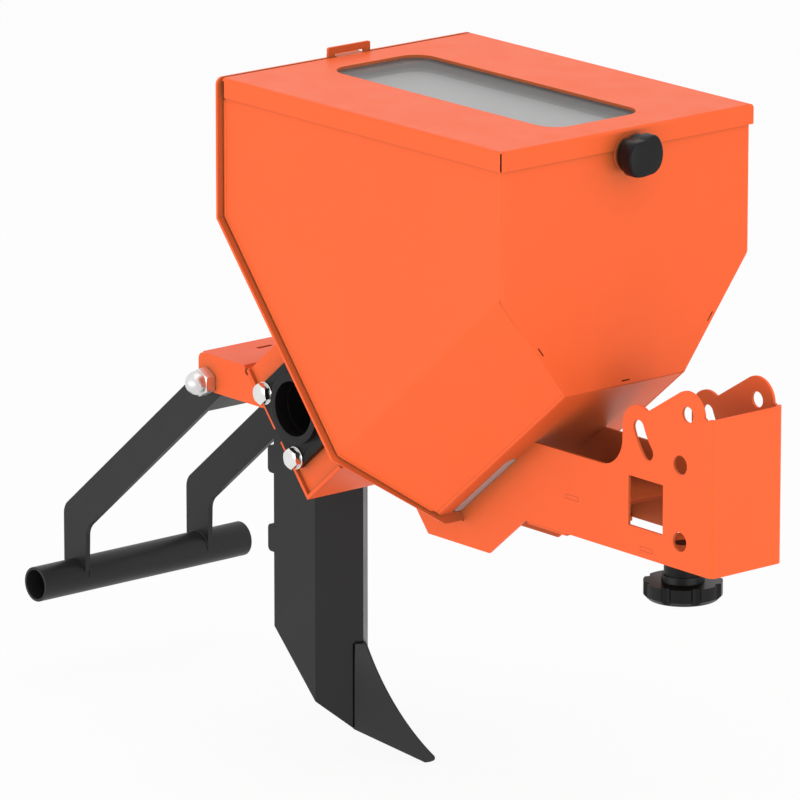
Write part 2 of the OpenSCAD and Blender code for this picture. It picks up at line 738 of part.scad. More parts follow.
// Bolt through the tail box's side and the arm, with a dome nut outside and a nut inside
module pivot_bolt_right() {
  color(zinc) translate([-pivot_x, 0, -pivot_z]) {
    rotate([90, 0, 0]) translate([0, 0, arm_y - arm_t - 12])
      cylinder(h = bracket_w / 2 - arm_y + arm_t + 13, d = pivot_d);
    translate([0, -bracket_w / 2, 0]) rotate([90, 0, 0]) {
      cylinder(h = 1.5, d = 30);
      hex(26, 13);
      cylinder(h = 16, d = 24);
      translate([0, 0, 15]) sphere(d = 24 - slip);
    }
    translate([0, -arm_y + arm_t + 12, 0]) rotate([90, 0, 0]) hex(24, 11.5);
  }
}
module pivot_bolt_left() {
  mirror([0, 1, 0]) pivot_bolt_right();
}
knee_z = -tube_dz + arm_end_h;
knee_a = atan2(-knee_z, tube_dx);
// Arm's outline about the pivot: a slanted run, a rounded knee and an upright end
module arm_outline() {
  p = [-sin(knee_a) * arm_w / 2, cos(knee_a) * arm_w / 2];
  x1 = -tube_dx - arm_end_w / 2 - 1.5;
  x2 = x1 + arm_end_w;
  circle(arm_w / 2 - slip);
  polygon(rounded([
    [p[0], p[1], 0], [x1, p[1] + (x1 - p[0]) * tan(knee_a), 10], [x1, -tube_dz, 0], [x2, -tube_dz, 0],
    [x2, -p[1] + (x2 + p[0]) * tan(knee_a), 9], [-p[0], -p[1], 0]
  ]));
}
module drag_arm_right() {
  color(black) translate([-pivot_x, 0, -pivot_z]) difference() {
    xz(-arm_y, -arm_y + arm_t) arm_outline();
    translate([0, -arm_y + arm_t + 1, 0]) rotate([90, 0, 0])
      cylinder(h = arm_t + 2, d = pivot_d + 2 * pin_gap);
    translate([-tube_dx, -arm_y + arm_t + 1, -tube_dz]) rotate([90, 0, 0])
      cylinder(h = arm_t + 2, d = tube_d);
  }
}
module drag_arm_left() {
  mirror([0, 1, 0]) drag_arm_right();
}
module drag_brace() {
  w = 2 * (arm_y - arm_t);
  color(black) translate([-pivot_x, 0, -pivot_z]) rotate([0, -knee_a, 0])
    translate([-37, -w / 2, -arm_w / 2]) cube([52, w, 5]);
}
module drag_tube() {
  color(black) translate([-pivot_x - tube_dx, tube_len / 2, -pivot_z - tube_dz]) rotate([90, 0, 0])
    difference() {
      cylinder(h = tube_len, d = tube_d);
      translate([0, 0, -1]) cylinder(h = tube_len + 2, d = tube_d - 2 * tube_wall);
    }
}

// ---- Shank and share ----

nose_x = -shank_x + shank_side + nose_run;
shank_low = -shank_z - (shank_side + nose_run) * tan(shank_cut);   // lower end of the nose
share_let = 7;                         // how far the share is let into the shank's nose
share_top = -shank_z;
module shank_section() {
  x0 = -shank_x;
  x1 = x0 + shank_side;
  h = shank_half;
  t = shank_t;
  k = t * 0.4;
  polygon([
    [x0, -h], [x1, -h], [nose_x, 0], [x1, h], [x0, h],
    [x0, h - t], [x1 - k, h - t], [nose_x - t * 1.5, 0], [x1 - k, -h + t], [x0, -h + t]
  ]);
}
// Hook at the shank's rear edge that holds the seed tube
module hook_outline() {
  translate([0, 5]) square([12, 20]);
  translate([5, 0]) square([8, 30]);
  for (z = [5, 25]) translate([5, z]) circle(5);
}
module shank() {
  top = -box_z - bplate;
  color(black) difference() {
    union() {
      translate([0, 0, shank_low - 10]) linear_extrude(top - shank_low + 10) shank_section();
      for (z = [-172, -258]) both_sides()
        xz(shank_half - shank_t, shank_half) translate([-shank_x - 10, z - 30]) hook_outline();
    }
    // lower end, sloping down to the nose
    xz(-shank_half - 1, shank_half + 1) polygon([
      [-shank_x - shank_side, -shank_z + shank_side * tan(shank_cut)],
      [nose_x + nose_run, shank_low - nose_run * tan(shank_cut)],
      [nose_x + nose_run, -big], [-shank_x - shank_side, -big]
    ]);
    // notch in the nose for the share
    translate([nose_x - share_let, -share_t / 2, share_top - 2 * share_back])
      cube([share_let + 1, share_t, 2 * share_back]);
    // top end, cut along the bracket's base plate
    slope(bracket_c1 + 200, -bracket_n) translate([0, -100, 0]) cube([200, 200, 600]);
  }
}
// Let into the nose: a wedge that narrows from its upright rear edge to a thin, hollow front
module share() {
  steps = 14;                          // along the hollow front
  top = [nose_x + 5.6, share_top];
  tip = [nose_x + share_reach, share_top - share_drop];
  chord = tip - top;
  chord_a = atan2(chord[1], chord[0]);
  half_a = asin(norm(chord) / 2 / share_r);
  centre = (top + tip) / 2 + share_r * cos(half_a) * [-sin(chord_a), cos(chord_a)];
  front = [
    for (i = [0:steps]) centre + share_r * [sin(chord_a + half_a * (2 * i / steps - 1)),
      -cos(chord_a + half_a * (2 * i / steps - 1))],
    tip - [2.5, 3.2], tip - [15.6, 8]
  ];
  last = len(front) - 1;
  rear = [for (i = [0:last]) [nose_x - share_let, share_top - share_back * i / last]];
  color(black) polyhedron(
    points = [for (i = [0:last]) for (p = [
      [rear[i], -share_t / 2], [rear[i], share_t / 2], [front[i], share_edge / 2], [front[i], -share_edge / 2]
    ]) [p[0][0], p[1], p[0][1]]],
    faces = concat(
      [[0, 1, 2], [0, 2, 3]],
      [for (i = [0:last - 1]) for (k = [0:3]) for (f = [
        [4 * i + k, 4 * i + 4 + (k + 1) % 4, 4 * i + (k + 1) % 4],
        [4 * i + k, 4 * i + 4 + k, 4 * i + 4 + (k + 1) % 4]
      ]) f],
      [[4 * last, 4 * last + 2, 4 * last + 1], [4 * last, 4 * last + 3, 4 * last + 2]]
    )
  );
}

hopper_side_right();
hopper_side_left();
hopper_front();
hopper_rear();
level_window_right();
level_window_left();
knob_stud();
clamp_knob();
lid();
lid_window();
hitch_frame();
cross_plate_front();
cross_plate_middle();
cross_plate_rear();
spindle();
handwheel();
bracket();
bracket_web_right();
bracket_web_left();
tail_box();
metering_tube();
bearing_right();
bearing_left();
bearing_bolts_right();
bearing_bolts_left();
pivot_bolt_right();
pivot_bolt_left();
shank();
share();
drag_arm_right();
drag_arm_left();
drag_brace();
drag_tube();
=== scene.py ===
import json
import math

import bmesh
import bpy
from mathutils import Matrix, Vector


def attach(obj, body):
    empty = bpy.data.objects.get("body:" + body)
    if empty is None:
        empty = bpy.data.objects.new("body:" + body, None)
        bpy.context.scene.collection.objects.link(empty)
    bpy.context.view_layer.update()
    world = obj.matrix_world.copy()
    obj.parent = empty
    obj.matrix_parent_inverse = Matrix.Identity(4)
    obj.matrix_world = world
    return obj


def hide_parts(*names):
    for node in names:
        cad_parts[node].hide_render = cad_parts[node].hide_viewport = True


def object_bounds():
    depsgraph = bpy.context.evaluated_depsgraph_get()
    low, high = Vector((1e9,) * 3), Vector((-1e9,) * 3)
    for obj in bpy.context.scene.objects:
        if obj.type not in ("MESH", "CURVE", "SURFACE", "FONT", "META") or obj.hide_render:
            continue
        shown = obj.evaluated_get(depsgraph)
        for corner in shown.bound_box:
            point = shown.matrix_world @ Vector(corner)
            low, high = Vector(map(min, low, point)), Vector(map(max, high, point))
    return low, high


# A seeder's looks: materials and softened edges for the CAD solids, the small parts that stay out
# of the solids, and a plain studio. Shapes are in millimetres in the part's frame, with x ahead,
# y to the left and z up. The camera, lamps, materials and edge radii are in metres.

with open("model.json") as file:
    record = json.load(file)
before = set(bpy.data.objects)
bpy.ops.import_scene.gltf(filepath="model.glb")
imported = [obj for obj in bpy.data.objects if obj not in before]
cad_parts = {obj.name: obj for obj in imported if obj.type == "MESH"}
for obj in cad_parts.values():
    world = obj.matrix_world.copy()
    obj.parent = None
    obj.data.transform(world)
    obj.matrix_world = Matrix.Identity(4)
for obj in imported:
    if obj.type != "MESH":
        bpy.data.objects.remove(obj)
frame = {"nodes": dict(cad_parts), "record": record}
cad_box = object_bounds()
nodes = frame["nodes"]
record = frame["record"]
scene = bpy.context.scene
scene.view_settings.view_transform = "Standard"

# ---------------------------------------------------------------- camera

AZIMUTH, ELEVATION = math.radians(50.012), math.radians(14.919)
DISTANCE = 8.369485
LOOK_AT = Vector((-0.1465, 0, 0.1133))
TO_RIGHT, TO_TOP = 0.226591, 0.131387    # from the picture's middle to LOOK_AT
SENSOR, PICTURE = 36, 800                # millimetres and pixels

back = Vector((math.sin(AZIMUTH) * math.cos(ELEVATION), -math.cos(AZIMUTH) * math.cos(ELEVATION),
               math.sin(ELEVATION)))
right = Vector((math.cos(AZIMUTH), math.sin(AZIMUTH), 0))
up = back.cross(right)
camera = bpy.data.objects.new("camera", bpy.data.cameras.new("camera"))
scene.collection.objects.link(camera)
camera.data.sensor_width = SENSOR
camera.data.lens = DISTANCE * 1000 / PICTURE * SENSOR    # a pixel is a millimetre wide at LOOK_AT
camera.data.clip_start, camera.data.clip_end = 0.5, 60
camera.matrix_world = (
    Matrix.Translation(LOOK_AT + back * DISTANCE - right * TO_RIGHT - up * TO_TOP)
    @ Matrix((right, up, back)).transposed().to_4x4()
)
scene.camera = camera

# ---------------------------------------------------------------- materials

NOISE_LOW, NOISE_HIGH = 0.3, 0.7         # the part of a noise's range that textures use
CLOUDS, SMUDGES = 9, 30                  # noise scales: cloudy colour, cloudy gloss
CLOUD_SHADE = 0.94                       # share of the colour that is left where clouds are dark
PAINT_GRAIN, MOULD_GRAIN = 900, 1400     # noise scales of the fine bumps
MIX_A, MIX_B, MIX_RESULT = 6, 7, 2       # the colour sockets of a Mix node


def add_node(tree, kind, links=None, values=None):
    """A new node, with sources linked to its sockets and values set on them."""
    node = tree.nodes.new(kind)
    for socket, source in (links or {}).items():
        tree.links.new(source, node.inputs[socket])
    for socket, value in (values or {}).items():
        node.inputs[socket].default_value = value
    return node


class Mat:
    """A principled material for one slot of the record, with helpers that texture it."""

    def __init__(self, name, slot, color, rough, spec=0.5, metal=0.0):
        self.slot = slot
        self.data = bpy.data.materials.new(name)
        self.data.use_nodes = True
        self.tree = self.data.node_tree
        self.inputs = self.tree.nodes["Principled BSDF"].inputs
        self.inputs["Base Color"].default_value = (*color, 1)
        self.inputs["Roughness"].default_value = rough
        self.inputs["Metallic"].default_value = metal
        self.inputs["Specular IOR Level"].default_value = spec
        self.coord = self.node("ShaderNodeTexCoord").outputs["Object"]

    def node(self, kind, links=None, values=None):
        return add_node(self.tree, kind, links, values)

    def drive(self, socket, source):
        """Links a node's output to a socket of the shader."""
        self.tree.links.new(source, self.inputs[socket])

    def noise(self, scale, detail):
        return self.node("ShaderNodeTexNoise", {"Vector": self.coord},
                         {"Scale": scale, "Detail": detail}).outputs["Fac"]

    def ramp(self, factor, stops):
        """Colour that runs through stops of a position and a colour."""
        node = self.node("ShaderNodeValToRGB", {"Fac": factor})
        elements = node.color_ramp.elements
        while len(elements) < len(stops):
            elements.new(0.5)
        for k, (position, color) in enumerate(stops):
            elements[k].position = position
            elements[k].color = (*color, 1)
        return node.outputs["Color"]

    def clouds(self, scale, dark, light):
        """Colour that wanders between two colours."""
        return self.ramp(self.noise(scale, 4), [(NOISE_LOW, dark), (NOISE_HIGH, light)])

    def cloudy_gloss(self, scale, low, high):
        """Roughness that wanders between two values."""
        values = {"From Min": NOISE_LOW, "From Max": NOISE_HIGH, "To Min": low, "To Max": high}
        node = self.node("ShaderNodeMapRange", {"Value": self.noise(scale, 3)}, values)
        self.drive("Roughness", node.outputs["Result"])

    def grain(self, scale, strength):
        """Fine bumps, as of orange peel or of a moulding's texture."""
        node = self.node("ShaderNodeBump", {"Height": self.noise(scale, 2)},
                         {"Strength": strength, "Distance": 0.0004})
        self.drive("Normal", node.outputs["Normal"])


def coated(name, slot, color, rough, spec, peel, grain=MOULD_GRAIN):
    """A coat or moulding with a fine grain and a little cloudiness in colour and gloss."""
    mat = Mat(name, slot, color, rough, spec)
    mat.drive("Base Color", mat.clouds(CLOUDS, [v * CLOUD_SHADE for v in color], color))
    mat.cloudy_gloss(SMUDGES, rough - 0.03, rough + 0.04)
    mat.grain(grain, peel)
    return mat


def plated(name, color, rough, dark, light, low, high):
    """Zinc plate with fine clouds between two colours and two roughnesses."""
    mat = Mat(name, "zinc_plate", color, rough, metal=1.0)
    mat.drive("Base Color", mat.clouds(60, dark, light))
    mat.cloudy_gloss(220, low, high)
    return mat


def orange_coat():
    """Orange powder coat, with painted shade: browner in deep corners, driven by ambient occlusion.
    """
    color = (0.97, 0.134, 0.031)
    mat = Mat("orange_powder", "orange_paint", color, 0.42, 0.18)
    openness = mat.node("ShaderNodeAmbientOcclusion", values={"Distance": 0.15})
    openness.samples = 12
    # Painted shade: the colour loses red where ambient occlusion finds the surface closed in
    coat = mat.ramp(openness.outputs["AO"], [
        (0, (0.46, 0.16, 0.066)),
        (0.2, (0.52, 0.15, 0.055)),
        (0.5, (0.6, 0.135, 0.038)),
        (0.85, (0.9, 0.134, 0.031)),
        (1, color),
    ])
    mix = mat.node("ShaderNodeMix", values={"Factor": 1})
    mix.data_type = "RGBA"
    mix.blend_type = "MULTIPLY"
    mat.tree.links.new(coat, mix.inputs[MIX_A])
    mat.tree.links.new(mat.clouds(CLOUDS, (0.975, 0.975, 0.975), (1, 1, 1)), mix.inputs[MIX_B])
    mat.drive("Base Color", mix.outputs[MIX_RESULT])
    mat.cloudy_gloss(SMUDGES, 0.39, 0.46)
    mat.grain(PAINT_GRAIN, 0.06)
    return mat


orange = orange_coat()
# Darker orange: painted shade in the gaps around the tabs' ends
gap_shade_orange = coated("orange_gap_shade", "orange_paint", (0.62, 0.07, 0.02), 0.6, 0.2, 0.06,
                     PAINT_GRAIN)
black = coated("black_powder", "black_paint", (0.0185, 0.0185, 0.0185), 0.4, 0.24, 0.09,
               PAINT_GRAIN)
# Near-black for the painted shadow along the share's rear edge
joint_shadow_black = coated("joint_shadow", "black_paint", (0.002, 0.002, 0.002), 0.9, 0.05, 0.05)
plastic = coated("black_plastic", "black_plastic", (0.0085, 0.0086, 0.0088), 0.42, 0.2, 0.05)
gloss = coated("knob_plastic", "black_plastic", (0.0065, 0.0065, 0.0068), 0.36, 0.18, 0.03)
rubber = coated("seal_rubber", "clear_plastic", (0.035, 0.02, 0.016), 0.6, 0.2, 0.05)
# Painted light and shade: a shaded and a lit copy of one grey, the lit one shaped like the window
liner = coated("grey_liner", "clear_plastic", (0.24, 0.24, 0.24), 0.5, 0.3, 0.03)
painted_light_grey = coated("grey_painted_light", "clear_plastic", (0.4, 0.4, 0.4), 0.5, 0.3, 0.03)
frosted = coated("frosted_pane", "clear_plastic", (0.62, 0.55, 0.54), 0.2, 0.5, 0.02)
frosted.inputs["Transmission Weight"].default_value = 0.25

zinc = plated("zinc_plate", (0.84, 0.83, 0.82), 0.14,
              (0.74, 0.735, 0.725), (0.83, 0.825, 0.815), 0.1, 0.19)
satin = plated("zinc_satin", (0.74, 0.735, 0.73), 0.36,
               (0.69, 0.685, 0.68), (0.77, 0.765, 0.76), 0.32, 0.42)

clear = Mat("clear_pane", "clear_plastic", (0.8, 0.8, 0.8), 0.05)
clear.inputs["Alpha"].default_value = 0.14
clear.cloudy_gloss(14, 0.03, 0.07)

BY_SLOT = {mat.slot: mat for mat in (orange, black, plastic, zinc, clear)}
BY_NODE = {"handwheel": gloss, "spindle": gloss}
for part in record["subparts"]:
    o = nodes[part["node"]]
    o.data.materials.clear()
    o.data.materials.append(BY_NODE.get(part["node"], BY_SLOT[part["material_slot"]]).data)

# ---------------------------------------------------------------- edges of the CAD pieces

# Cut and coated plate has a small radius on every edge. The hopper's own sheets carry their bends
# in the solids and meet flush, so theirs stay as they are and only the shading is smoothed.
FLUSH = {"hopper_side_right", "hopper_side_left", "hopper_front"}
PLATE_EDGE, THIN_EDGE = 0.0006, 0.0004
OWN_EDGE = {"handwheel": 0.0016, "spindle": 0.0012, "lid": THIN_EDGE, "tail_box": 0.0013,
            "hopper_rear": 0.0014}


def split_edges(o, degrees):
    """Sharp shading at edges that turn by more than an angle."""
    o.modifiers.new("split", "EDGE_SPLIT").split_angle = math.radians(degrees)


def soften(o, radius, segments=2):
    """Bevelled edges with a radius in metres, or only smooth shading where the radius is 0."""
    o.modifiers.new("weld", "WELD").merge_threshold = 2e-5
    if radius:
        bevel = o.modifiers.new("bevel", "BEVEL")
        bevel.width = radius
        bevel.segments = segments
        bevel.limit_method = "ANGLE"
        bevel.angle_limit = math.radians(32)
    else:
        split_edges(o, 28)
    for face in o.data.polygons:
        face.use_smooth = True
    normals = o.modifiers.new("normals", "WEIGHTED_NORMAL")
    normals.keep_sharp = True
    normals.weight = 90


for name, o in nodes.items():
    if name in FLUSH:
        soften(o, 0)
    elif name in OWN_EDGE:
        soften(o, OWN_EDGE[name], 3)
    else:
        soften(o, PLATE_EDGE)

# ---------------------------------------------------------------- mesh tools, in millimetres


def piece(name, bm, mat, body, split=32, edge=0):
    """An object from a bmesh, riding on a body, with split edges or ones softened by a radius."""
    bmesh.ops.recalc_face_normals(bm, faces=bm.faces)
    mesh = bpy.data.meshes.new(name)
    bm.to_mesh(mesh)
    bm.free()
    mesh.materials.append(mat.data)
    for face in mesh.polygons:
        face.use_smooth = True
    o = bpy.data.objects.new(name, mesh)
    scene.collection.objects.link(o)
    if edge:
        soften(o, edge)
    else:
        split_edges(o, split)
    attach(o, body)
    return o


def loft(bm, rings, place=Matrix(), closed=False):
    """Skin over rings of points, capped at both ends or joined into a loop."""
    loops = [[bm.verts.new(place @ (Vector(p) / 1000)) for p in ring] for ring in rings]
    n = len(loops[0])
    for a, b in list(zip(loops, loops[1:])) + ([(loops[-1], loops[0])] if closed else []):
        for i in range(n):
            bm.faces.new((a[i], a[(i + 1) % n], b[(i + 1) % n], b[i]))
    if not closed:
        bm.faces.new(loops[0][::-1])
        bm.faces.new(loops[-1])


def arc(cx, cy, r, start, end, steps):
    """Points of an arc about a centre, with both of its ends, between angles in degrees."""
    angles = [math.radians(start + (end - start) * k / steps) for k in range(steps + 1)]
    return [(cx + r * math.cos(a), cy + r * math.sin(a)) for a in angles]


def circle(r, z, n=48):
    return [(r * math.cos(a), r * math.sin(a), z) for a in (k * math.tau / n for k in range(n))]


def at_height(z, outline):
    return [(x, y, z) for x, y in outline]


def turned(bm, profile, place):
    """A turned piece about local z, from radii and heights."""
    loft(bm, [circle(r, z) for r, z in profile], place)


def hexagon(bm, flats, z0, z1, place, turn=30, n=72):
    """A head or nut with both ends chamfered. Its first flat faces turn degrees from local x."""
    face = flats / 2 * 0.955             # radius of the flat face inside the chamfer
    slope = 0.577                        # tangent of the chamfer's 30 degrees

    def ring(end, inward):
        points = []
        for k in range(n):
            degrees = 360 * k / n
            r = flats / 2 / math.cos(math.radians((degrees - turn + 30) % 60 - 30))
            a = math.radians(degrees)
            points.append((r * math.cos(a), r * math.sin(a), end + inward * (r - face) * slope))
        return points

    loft(bm, [circle(face, z0, n), ring(z0, 1), ring(z1, -1), circle(face, z1, n)], place)


def thread(r, z0, z1):
    """Profile of a threaded end between two heights."""
    pitch, depth = 1.75, 0.6
    turns = max(1, round((z1 - z0) / pitch))
    rise = (z1 - z0) / turns
    profile = []
    for k in range(turns):
        profile += [(r - depth, z0 + rise * k), (r, z0 + rise * (k + 0.5))]
    return profile


def axes(origin, x, z):
    """Matrix that takes local x and z to two directions, at an origin."""
    x, z = Vector(x).normalized(), Vector(z).normalized()
    turn = Matrix((x, z.cross(x), z)).transposed().to_4x4()
    return Matrix.Translation(Vector(origin) / 1000) @ turn


def line(a, b, step=0.65):
    """Points along a straight run, about a step apart, with both of its ends."""
    a, b = Vector(a), Vector(b)
    n = max(2, int((b - a).length / step))
    return [a.lerp(b, k / n) for k in range(n + 1)]


def bead(name, points, r, mat, body, ripple=0.14):
    """A weld bead or fillet: a low round along a path, with the share of ripple in its radius."""
    sides, ripple_length, end_share = 16, 2.6, 0.45
    off_axis = Vector((0.3, 0.9, 0.2))   # a direction that no bead runs in
    path = [Vector(p) for p in points]
    last = len(path) - 1
    rings, run = [], 0.0
    for i, p in enumerate(path):
        ahead = (path[min(i + 1, last)] - path[max(i - 1, 0)]).normalized()
        u = ahead.cross(off_axis).normalized()
        v = ahead.cross(u)
        if i:
            run += (p - path[i - 1]).length
        wave = 1 - 0.7 * ripple + ripple * abs(math.sin(run * math.pi / ripple_length))
        radius = r * wave * (end_share if i in (0, last) else 1)
        rings.append([p + u * x + v * y for x, y, _ in circle(radius, 0, sides)])
    bm = bmesh.new()
    loft(bm, rings)
    return piece(name, bm, mat, body, split=60)


# ---------------------------------------------------------------- where things are, in millimetres

SIDES = (("right", -1), ("left", 1))
LEAN = math.radians(40)                                  # of the hopper's slanted rear wall
AHEAD = Vector((math.cos(LEAN), 0, math.sin(LEAN)))      # square to that wall
UPHILL = Vector((-math.sin(LEAN), 0, math.cos(LEAN)))    # up its slope
BEND_X, BEND_Z = -587.5, 109.7                           # where the wall turns upright
FRONT_X = -146.5                                         # front panel's outer face
STUD_Z = 233.0                                           # height of the clamp knob's stud
BOX_HALF = 92.0                                          # half the tail box's width
ARM_IN, ARM_OUT = 81.4, 87.4                             # faces of the drag bar's arms

mounts = {m["name"]: m for m in record["mounts"]}
joints = {j["name"]: j for j in record["behaviour"]["joints"]}
bearing = Vector(mounts["metering_bore"]["pos_m"]) * 1000
tube = Vector(mounts["drag_tube_bore"]["pos_m"]) * 1000
pivot = Vector(joints["drag_pivot"]["pos_m"]) * 1000


def on_wall(down, ahead, y):
    """A point some way down the slanted wall from its bend and some way ahead of it."""
    return (BEND_X + down * math.sin(LEAN) + ahead * math.cos(LEAN), y,
            BEND_Z - down * math.cos(LEAN) + ahead * math.sin(LEAN))


# ---------------------------------------------------------------- bolts and nuts

WEB = 88.0                               # outer face of the bracket's webs
SPACING = 77.5                           # between the bolts of a bearing
BOLT_R, BOLT_FLATS = 6, 20
# Heights along a bearing bolt, from the web's outer face
FLANGE, WASHER, HEAD = 9.0, 11.0, 18.0   # outer faces of the bearing, the washer and the head
NUT, NUT_END, BOLT_END = -4.05, -14, -20
WASHER_R = 12
# Pivot bolt, with heights from the tail box's side
PIVOT_R, PIVOT_FLATS = 9, 24
PIVOT_NUT, PIVOT_NUT_END, PIVOT_END = -11.3, -22.6, -24.6
DOME_FLATS, DOME_HEX = 26.4, 13          # the domed nut's hexagon: across its flats, and its height
DOME_R, DOME_Z = 12.8, 14.4              # radius and centre of its dome

for side, s in SIDES:
    bm = bmesh.new()
    for i in (-1, 1):
        for j in (-1, 1):
            at = bearing + AHEAD * (i * SPACING / 2) + UPHILL * (j * SPACING / 2)
            place = axes((at.x, s * WEB, at.z), AHEAD, (0, s, 0))
            turned(bm, [(WASHER_R - 0.6, FLANGE), (WASHER_R, FLANGE + 0.4),
                        (WASHER_R, WASHER - 0.4), (WASHER_R - 0.6, WASHER)], place)
            hexagon(bm, BOLT_FLATS, WASHER, HEAD, place)
            turned(bm, thread(BOLT_R, BOLT_END, NUT_END)
                   + [(BOLT_R, NUT_END), (BOLT_R, FLANGE + 0.5)], place)
            hexagon(bm, BOLT_FLATS, NUT_END, NUT, place)
    o = piece("bearing_bolt_set_" + side, bm, zinc, "root")
    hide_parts("bearing_bolts_" + side)

    # Pivot bolt: a domed nut outside the tail box and a plain one inside
    bm = bmesh.new()
    place = axes((pivot.x, s * BOX_HALF, pivot.z), (1, 0, 0), (0, s, 0))
    hexagon(bm, DOME_FLATS, 0.1, DOME_HEX, place, turn=0)
    dome = arc(0, DOME_Z, DOME_R, 0, 90 * 13 / 14, 13)   # its last step to the top is the cap
    turned(bm, [(DOME_R - 0.5, DOME_HEX - 0.6), (DOME_R, DOME_HEX)] + dome, place)
    turned(bm, thread(PIVOT_R, PIVOT_END, PIVOT_NUT_END)
           + [(PIVOT_R - 0.05, PIVOT_NUT_END), (PIVOT_R - 0.05, 1)], place)
    hexagon(bm, PIVOT_FLATS, PIVOT_NUT_END, PIVOT_NUT, place, turn=0)
    o = piece("pivot_bolt_set_" + side, bm, satin, "root")
    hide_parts("pivot_bolt_" + side)

# ---------------------------------------------------------------- small sheet-metal details

# Rounded lug of the lid's front flange, notched over the stud
LUG_R, LUG_BACK, LUG_FACE = 19, 0.7, 3.3     # radius, and faces ahead of the front panel
NOTCH_HALF, NOTCH_TOP = 7, 244.5
notch = math.degrees(math.asin(NOTCH_HALF / LUG_R))
outline = (arc(0, STUD_Z, LUG_R, notch - 90, 270 - notch, 60)
           + [(-NOTCH_HALF, NOTCH_TOP), (NOTCH_HALF, NOTCH_TOP)])
bm = bmesh.new()
loft(bm, [[(x, y, z) for y, z in outline] for x in (FRONT_X + LUG_BACK, FRONT_X + LUG_FACE)])
piece("lid_lug", bm, orange, "lid_body")

# Fine lines of painted shade, darker orange where the gaps' shade falls, around the ends of the
# cross plates' tabs, which lie flush in the frame's sides
TAB_W, TAB_H, TAB_LINE = 19, 4.2, 0.45   # a tab's size and the line's width
TAB_DEPTHS = (47.5, 47.9)                # from just inside the frame's side to just outside it
TABS = ((-172.9, -121.6), (-59.7, -151.6))
for side, s in SIDES:
    bm = bmesh.new()
    for x, z in TABS:
        for dx, dz, w, h in ((0, TAB_H / 2, TAB_W, TAB_LINE), (0, -TAB_H / 2, TAB_W, TAB_LINE),
                             (TAB_W / 2, 0, TAB_LINE, TAB_H), (-TAB_W / 2, 0, TAB_LINE, TAB_H)):
            rect = [(x + dx + i * w / 2, z + dz + j * h / 2)
                    for i, j in ((-1, -1), (1, -1), (1, 1), (-1, 1))]
            loft(bm, [[(p, s * y, q) for p, q in rect] for y in TAB_DEPTHS])
    piece("tab_ends_" + side, bm, gap_shade_orange, "root")


def rounded_sheet(x0, x1, half, r, z0, z1):
    """A level sheet with round corners, from x0 to x1 and half its width to either side."""
    corners = ((x1 - r, half - r), (x0 + r, half - r), (x0 + r, r - half), (x1 - r, r - half))
    outline = [p for k, (x, y) in enumerate(corners) for p in arc(x, y, r, 90 * k, 90 * k + 90, 9)]
    bm = bmesh.new()
    loft(bm, [at_height(z, outline) for z in (z0, z1)])
    return bm


# Grey liner inside the lid, darker as painted shade, and on it a lighter pad below the window: a
# painted pool of the light that falls through the window
LINER_Z, PAD_Z, PAD_TOP = 238, 239.4, 240
piece("lid_liner", rounded_sheet(-571, -156, 150, 18, LINER_Z, PAD_Z), liner, "lid_body")
piece("lid_liner_painted_light", rounded_sheet(-542.5, -188.5, 62, 25, PAD_Z, PAD_TOP), painted_light_grey, "lid_body")

# Panes of the seed level slots, each in a dark seal, in the chute floor
FLOOR_DOWN = 372                         # how far down the slanted wall the floor starts
SLOT_Y = 54
PANE_R, PANE_FROM, PANE_TO = 7.25, 13.25, 112.75     # radius and centres of a pane's ends


def pane_ring(grow, z):
    """Outline of a pane, grown to all sides, at a height above the floor's outer face."""
    r = PANE_R + grow
    return at_height(z, arc(PANE_TO, 0, r, -90, 90, 16) + arc(PANE_FROM, 0, r, 90, 270, 16))


for side, s in SIDES:
    place = axes(on_wall(FLOOR_DOWN, 0, s * SLOT_Y), AHEAD, UPHILL)
    bm = bmesh.new()
    loft(bm, [pane_ring(-0.4, 0.5), pane_ring(0, 0.15), pane_ring(0, 4.9)], place)
    o = piece("level_pane_" + side, bm, frosted, "root")
    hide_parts("level_window_" + side)
    bm = bmesh.new()
    seal = [(0.95, 3), (0.95, 0.1), (0.1, 0.1), (0.1, 3)]
    loft(bm, [pane_ring(grow, z) for grow, z in seal], place, closed=True)
    piece("level_seal_" + side, bm, rubber, "root")

# Clamp knob: a round base under a wing-shaped grip with a scoop at the top and one at the bottom
KNOB_X = -142.5                          # height 0 of the knob
FOOT_R, FOOT_Z = 13, (0.05, 2.4)
KNOB_STEPS = 144
KNOB_RADII = [                           # the grip's radius at some angles
    (0, 21.8), (30, 22.8), (46, 23.9), (60, 24.4), (74, 21.2), (98, 16.8), (118, 18.8),
    (136, 22.6), (160, 22.4), (180, 22), (205, 22.8), (219, 23.8), (231, 24.2), (245, 21.8),
    (258, 20.4), (270, 19.6), (285, 19.5), (300, 21), (320, 22), (340, 21.9), (360, 21.8),
]
SMOOTHING = range(-6, 7, 2)              # degrees over which neighbouring radii are averaged
KNOB_RINGS = [                           # height, share of the grip's radius, largest radius
    (2.8, 0.985, 19.8), (4, 0.985, 20.8), (10.2, 0.985, 20.8), (10.6, 0.985, 20.6),
    (10.9, 0.985), (11.8, 1), (24, 1), (25.1, 0.985), (25.8, 0.955), (26, 0.92),
]


def knob_radius(degrees):
    """The grip's radius at an angle, between the two listed angles around it."""
    degrees %= 360
    for (a0, r0), (a1, r1) in zip(KNOB_RADII, KNOB_RADII[1:]):
        if degrees <= a1:
            return r0 + (r1 - r0) * (degrees - a0) / (a1 - a0)


angles = [k * math.tau / KNOB_STEPS for k in range(KNOB_STEPS)]
grip = [sum(knob_radius(math.degrees(a) + d) for d in SMOOTHING) / len(SMOOTHING) for a in angles]


